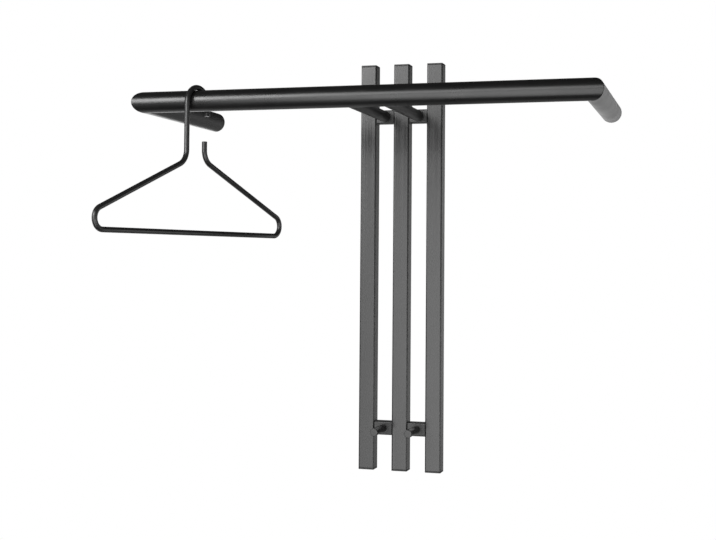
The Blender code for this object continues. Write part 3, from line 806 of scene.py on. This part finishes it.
def rounded_ends(points, directions):
    """The rod's path with a radius at each point, drawn in along a quarter circle at both cut ends."""
    size = sizes()
    steps = rounding(size.rod_edge)
    along = np.array([0.0] + [a for a, _ in reversed(steps)] + [size.rod_edge + HOLD])
    inward = np.array([size.rod_radius] + [i for _, i in reversed(steps)] + [0.0])
    count = len(along)
    first = points[0] + along[:, None] * directions[0]
    last = points[-1] - along[::-1, None] * directions[-1]
    path = np.concatenate([first, points[1:-1], last])
    headings = np.concatenate([directions[:1].repeat(count, 0), directions[1:-1],
                               directions[-1:].repeat(count, 0)])
    radii = np.concatenate([size.rod_radius - inward, np.full(len(points) - 2, size.rod_radius),
                            size.rod_radius - inward[::-1]])
    return path, headings, radii


# Camera of the photograph, in pixels of a 716 by 540 image, fitted to the rack's edges
IMAGE_WIDTH = 716
IMAGE_HEIGHT = 540
FOCAL_PIXELS = 1284.909
PRINCIPAL_X = 342.11
PRINCIPAL_Y = 214.79
CAMERA_PLACE = (0.51305, -2.06958, 0.00626)
CAMERA_YAW = math.radians(16.693)
CAMERA_PITCH = math.radians(2.114)
CAMERA_ROLL = math.radians(0.482)
SENSOR_WIDTH = 36.0

FLOOR_DROP = 1.65
FLOOR_SIZE = 3.0
# How white the floor is to the camera within this distance of its middle; it fades to white at its edge
FLOOR_WHITE = 0.85
FLOOR_MIDDLE = FLOOR_SIZE / 8

# Soft boxes: name, degrees to the right of straight ahead, degrees up, distance, width, height, radiance
LAMPS = (
    ("key", -35, 15, 2.2, 0.6, 1.2, 7.2),
    ("left front", -26, 22, 2.2, 0.5, 0.9, 7.0),
    ("front", -6, 0, 2.2, 1.6, 3.2, 0.7),
    ("top front", -5, 21, 2.2, 1.1, 0.65, 3.2),
    ("centre front", -6, -9, 2.2, 1.0, 1.3, 2.7),
    ("low front", 5, -37, 2.2, 1.2, 0.9, 2.2),
    ("fill", 45, 0, 2.2, 0.8, 2.2, 0.7),
    ("low fill", 45, -14, 2.2, 0.8, 0.8, 3.6),
    ("side", 80, -5, 2.2, 1.0, 1.4, 1.2),
    ("rear left", -138, -4, 2.4, 1.2, 1.8, 0.8),
    ("left", -95, 0, 2.4, 1.2, 1.6, 1.0),
    ("rear right", 130, -10, 2.4, 1.2, 1.6, 0.9),
)
AMBIENT = 0.12
# The backdrop as reflections see it: light at each height of the ray, where 1 is straight up
BACKDROP = ((-0.7, 0.45), (-0.4, 0.3), (-0.15, 0.4), (0.15, 0.13), (0.4, 0.05))
# Its level up to one X of the ray, on the left, and from another X on, to the right
LEFT_X = -0.45
LEFT_LEVEL = 1.6
RIGHT_X = -0.2
RIGHT_LEVEL = 0.7
# The Y of the ray from which it has its full light
FULL_Y = 0.5
# One soft pool of light on it: its direction, the ray's part along that at its rim and inside it, its light
POOL_PLACE = (-0.04, 1, 0.03)
POOL_RIM = 0.965
POOL_INSIDE = 0.99
POOL_LIGHT = 0.95


class DRESS_OT_stage(bpy.types.Operator):
    """Camera, soft boxes, white surroundings and a pale floor"""

    bl_idname = "dress.stage"
    bl_label = "Stage"

    def execute(self, context):
        add_camera()
        add_lamps()
        add_surroundings()
        add_floor()
        context.scene.view_settings.view_transform = "Standard"
        return {"FINISHED"}


def add_camera():
    """Camera turned by yaw about Z, then pitch, then roll, with the photograph's lens and shift."""
    data = bpy.data.cameras.new("camera")
    data.sensor_width = SENSOR_WIDTH
    data.lens = FOCAL_PIXELS * SENSOR_WIDTH / IMAGE_WIDTH
    data.shift_x = (IMAGE_WIDTH / 2 - PRINCIPAL_X) / IMAGE_WIDTH
    data.shift_y = (PRINCIPAL_Y - IMAGE_HEIGHT / 2) / IMAGE_WIDTH
    camera = bpy.data.objects.new("camera", data)
    camera.matrix_world = (Matrix.Translation(CAMERA_PLACE) @ Matrix.Rotation(CAMERA_YAW, 4, "Z")
                           @ Matrix.Rotation(math.pi / 2 + CAMERA_PITCH, 4, "X")
                           @ Matrix.Rotation(CAMERA_ROLL, 4, "Z"))
    bpy.context.collection.objects.link(camera)
    bpy.context.scene.camera = camera


def add_lamps():
    """Rectangular soft boxes around the rack, each facing its middle, at a stated radiance."""
    for name, right, up, distance, width, height, radiance in LAMPS:
        data = bpy.data.lights.new(name, "AREA")
        data.shape = "RECTANGLE"
        data.size = width
        data.size_y = height
        data.energy = radiance * math.pi * width * height
        lamp = bpy.data.objects.new(name, data)
        azimuth, elevation = math.radians(right), math.radians(up)
        away = Vector((math.sin(azimuth) * math.cos(elevation), -math.cos(azimuth) * math.cos(elevation),
                       math.sin(elevation)))
        facing = away.to_track_quat("Z", "Y").to_matrix().to_4x4()
        lamp.matrix_world = Matrix.Translation(away * distance) @ facing
        lamp.visible_camera = False
        bpy.context.collection.objects.link(lamp)


def add_surroundings():
    """World that is white to the camera, dim to the rack, and a shaded backdrop to reflections."""
    world = bpy.data.worlds.new("white studio")
    world.use_nodes = True
    bpy.context.scene.world = world
    tree = world.node_tree
    tree.nodes.clear()
    path = add_node(tree, "ShaderNodeLightPath")
    direction = add_node(tree, "ShaderNodeTexCoord").outputs["Generated"]
    parts = add_node(tree, "ShaderNodeSeparateXYZ", {"Vector": direction})
    height = add_node(tree, "ShaderNodeMapRange", {"Value": parts.outputs["Z"], "From Min": -1.0})
    shade = add_node(tree, "ShaderNodeValToRGB", {"Fac": height.outputs["Result"]})
    stops = shade.color_ramp.elements
    stops.remove(stops[0])
    for up, light in BACKDROP:
        stops.new((up + 1) / 2).color = (light, light, light, 1)
    stops.remove(stops[-1])
    sides = add_node(tree, "ShaderNodeMapRange", {"Value": parts.outputs["X"], "From Min": LEFT_X,
                                                  "From Max": RIGHT_X, "To Min": LEFT_LEVEL,
                                                  "To Max": RIGHT_LEVEL})
    wide = add_node(tree, "ShaderNodeMath", {0: shade.outputs["Color"], 1: sides.outputs["Result"]},
                    operation="MULTIPLY")
    behind = add_node(tree, "ShaderNodeMapRange", {"Value": parts.outputs["Y"], "From Max": FULL_Y},
                      interpolation_type="SMOOTHSTEP")
    near = add_node(tree, "ShaderNodeVectorMath", {0: direction, 1: POOL_PLACE}, operation="DOT_PRODUCT")
    pool = add_node(tree, "ShaderNodeMapRange", {"Value": near.outputs["Value"], "From Min": POOL_RIM,
                                                 "From Max": POOL_INSIDE, "To Max": POOL_LIGHT},
                    interpolation_type="SMOOTHSTEP")
    lit = add_node(tree, "ShaderNodeMath", {0: wide.outputs["Value"], 1: pool.outputs["Result"]},
                   operation="ADD")
    backdrop = add_node(tree, "ShaderNodeMath", {0: lit.outputs["Value"], 1: behind.outputs["Result"]},
                        operation="MULTIPLY")
    shiny = add_node(tree, "ShaderNodeMath", {0: path.outputs["Is Glossy Ray"],
                                              1: path.outputs["Is Transmission Ray"]}, operation="ADD")
    seen = add_node(tree, "ShaderNodeMix", {"Factor": shiny.outputs["Value"], "A": AMBIENT,
                                            "B": backdrop.outputs["Value"]})
    level = add_node(tree, "ShaderNodeMath", {0: seen.outputs["Result"], 1: path.outputs["Is Camera Ray"]},
                     operation="MAXIMUM")
    light = add_node(tree, "ShaderNodeBackground", {"Color": (1, 1, 1, 1),
                                                    "Strength": level.outputs["Value"]})
    add_node(tree, "ShaderNodeOutputWorld", {"Surface": light.outputs["Background"]})


def add_floor():
    """Pale painted floor far below the rack.

    To the camera: nearly white, a little darker in the rack's shadow, and pure white toward its edge.
    """
    half = FLOOR_SIZE / 2
    material, tree, shader, place = principled("matt pale floor paint")
    shader.inputs["Base Color"].default_value = finishes().floor
    shader.inputs["Roughness"].default_value = 0.8
    path = add_node(tree, "ShaderNodeLightPath")
    white = add_node(tree, "ShaderNodeEmission", {"Color": (1, 1, 1, 1), "Strength": 1.0})
    out = add_node(tree, "ShaderNodeVectorMath", {0: place, 1: (0, 0, -FLOOR_DROP)}, operation="DISTANCE")
    edge = add_node(tree, "ShaderNodeMapRange", {"Value": out.outputs["Value"], "From Min": FLOOR_MIDDLE,
                                                 "From Max": half, "To Min": FLOOR_WHITE, "To Max": 1.0},
                    interpolation_type="SMOOTHSTEP")
    seen = add_node(tree, "ShaderNodeMath", {0: path.outputs["Is Camera Ray"], 1: edge.outputs["Result"]},
                    operation="MULTIPLY")
    blend = add_node(tree, "ShaderNodeMixShader", {"Fac": seen.outputs["Value"], 1: shader.outputs["BSDF"],
                                                   2: white.outputs["Emission"]})
    tree.links.new(blend.outputs["Shader"], tree.nodes["Material Output"].inputs["Surface"])
    corners = np.array(((-half, -half), (half, -half), (half, half), (-half, half)))
    mesh = bpy.data.meshes.new("floor")
    mesh.from_pydata(np.column_stack([corners, np.full(4, -FLOOR_DROP)]).tolist(), [], [(0, 1, 2, 3)])
    mesh.materials.append(material)
    floor = bpy.data.objects.new("floor", mesh)
    floor.visible_glossy = False
    bpy.context.collection.objects.link(floor)


PIECES = (DRESS_OT_rail, DRESS_OT_wall_fixings, DRESS_OT_slats, DRESS_OT_plugs, DRESS_OT_cross_bars,
          DRESS_OT_struts, DRESS_OT_pegs, DRESS_OT_screws, DRESS_OT_hanger, DRESS_OT_stage)


class DRESS_PT_rack(bpy.types.Panel):
    """Sidebar list of the rack's pieces, sizes and finishes"""

    bl_idname = "DRESS_PT_rack"
    bl_label = "Coat rack"
    bl_space_type = "VIEW_3D"
    bl_region_type = "UI"
    bl_category = "Coat rack"

    def draw(self, context):
        for operator in PIECES:
            self.layout.operator(operator.bl_idname)
        for group in (context.scene.coat_rack_sizes, context.scene.coat_rack_finishes):
            for name in group.__annotations__:
                self.layout.prop(group, name)


CLASSES = (RackSizes, RackFinishes, *PIECES, DRESS_PT_rack)


def register():
    """Register the classes and put the sizes and finishes on the scene."""
    for item in CLASSES:
        bpy.utils.register_class(item)
    bpy.types.Scene.coat_rack_sizes = bpy.props.PointerProperty(type=RackSizes)
    bpy.types.Scene.coat_rack_finishes = bpy.props.PointerProperty(type=RackFinishes)


def unregister():
    """Take the sizes, finishes and classes away again."""
    del bpy.types.Scene.coat_rack_finishes
    del bpy.types.Scene.coat_rack_sizes
    for item in reversed(CLASSES):
        bpy.utils.unregister_class(item)


def main():
    """Build every piece and the stage."""
    register()
    bpy.ops.dress.rail()
    bpy.ops.dress.wall_fixings()
    bpy.ops.dress.slats()
    bpy.ops.dress.plugs()
    bpy.ops.dress.cross_bars()
    bpy.ops.dress.struts()
    bpy.ops.dress.pegs()
    bpy.ops.dress.screws()
    bpy.ops.dress.hanger()
    bpy.ops.dress.stage()


if __name__ == "__main__":
    main()
